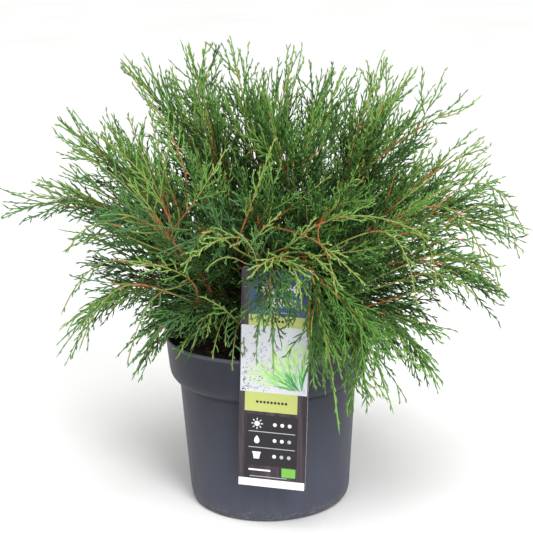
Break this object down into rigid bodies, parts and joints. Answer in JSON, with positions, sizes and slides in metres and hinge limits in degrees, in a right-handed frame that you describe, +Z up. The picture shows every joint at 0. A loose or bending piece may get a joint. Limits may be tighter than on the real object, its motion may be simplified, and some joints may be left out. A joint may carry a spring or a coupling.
{
  "type": "potted siberian cypress shrub",
  "caption": "Low spreading evergreen conifer with feathery arching sprays, growing from a short trunk in a round plastic nursery pot with a hanging label.",
  "frame": {"origin": "centre of the pot's flat underside", "axes": "+Z up along the pot's axis; -Y is the front, where the label hangs on the rim; +X is to the right seen from the front"},
  "size_m": [0.4908, 0.3944, 0.4305],
  "materials": {
    "pot": "injection moulded polypropylene, anthracite, satin",
    "soil": "loose moist peat with bark chips",
    "label": "printed plastic sheet, semi-gloss",
    "bark": "thin flaking bark, orange brown",
    "foliage": "scale leaves, fresh to deep green, satin"
  },
  "bodies": {
    "root": {"pot": "pot", "soil": "soil", "label": "label", "trunk": "bark", "bough_back_left": "bark", "bough_back_right": "bark", "bough_front": "bark", "bough_front_left": "bark", "bough_front_right": "bark", "bough_left": "bark", "bough_left_back": "bark", "bough_left_front": "bark", "bough_left_low": "bark", "bough_right": "bark", "bough_right_back": "bark", "bough_right_front": "bark", "bough_right_high": "bark", "bough_right_low": "bark", "bough_top": "bark", "bough_top_front": "bark", "bough_top_left": "bark", "foliage_back_left_a": "foliage", "foliage_back_left_b": "foliage", "foliage_back_right_a": "foliage", "foliage_back_right_b": "foliage", "foliage_front_a": "foliage", "foliage_front_b": "foliage", "foliage_front_left_a": "foliage", "foliage_front_left_b": "foliage", "foliage_front_right_a": "foliage", "foliage_front_right_b": "foliage", "foliage_left_a": "foliage", "foliage_left_b": "foliage", "foliage_left_back_a": "foliage", "foliage_left_back_b": "foliage", "foliage_left_front_a": "foliage", "foliage_left_front_b": "foliage", "foliage_left_low_a": "foliage", "foliage_left_low_b": "foliage", "foliage_right_a": "foliage", "foliage_right_b": "foliage", "foliage_right_back_a": "foliage", "foliage_right_back_b": "foliage", "foliage_right_front_a": "foliage", "foliage_right_front_b": "foliage", "foliage_right_high_a": "foliage", "foliage_right_high_b": "foliage", "foliage_right_low_a": "foliage", "foliage_right_low_b": "foliage", "foliage_top_a": "foliage", "foliage_top_b": "foliage", "foliage_top_front_a": "foliage", "foliage_top_front_b": "foliage", "foliage_top_left_a": "foliage", "foliage_top_left_b": "foliage"}
  },
  "joints": []
}
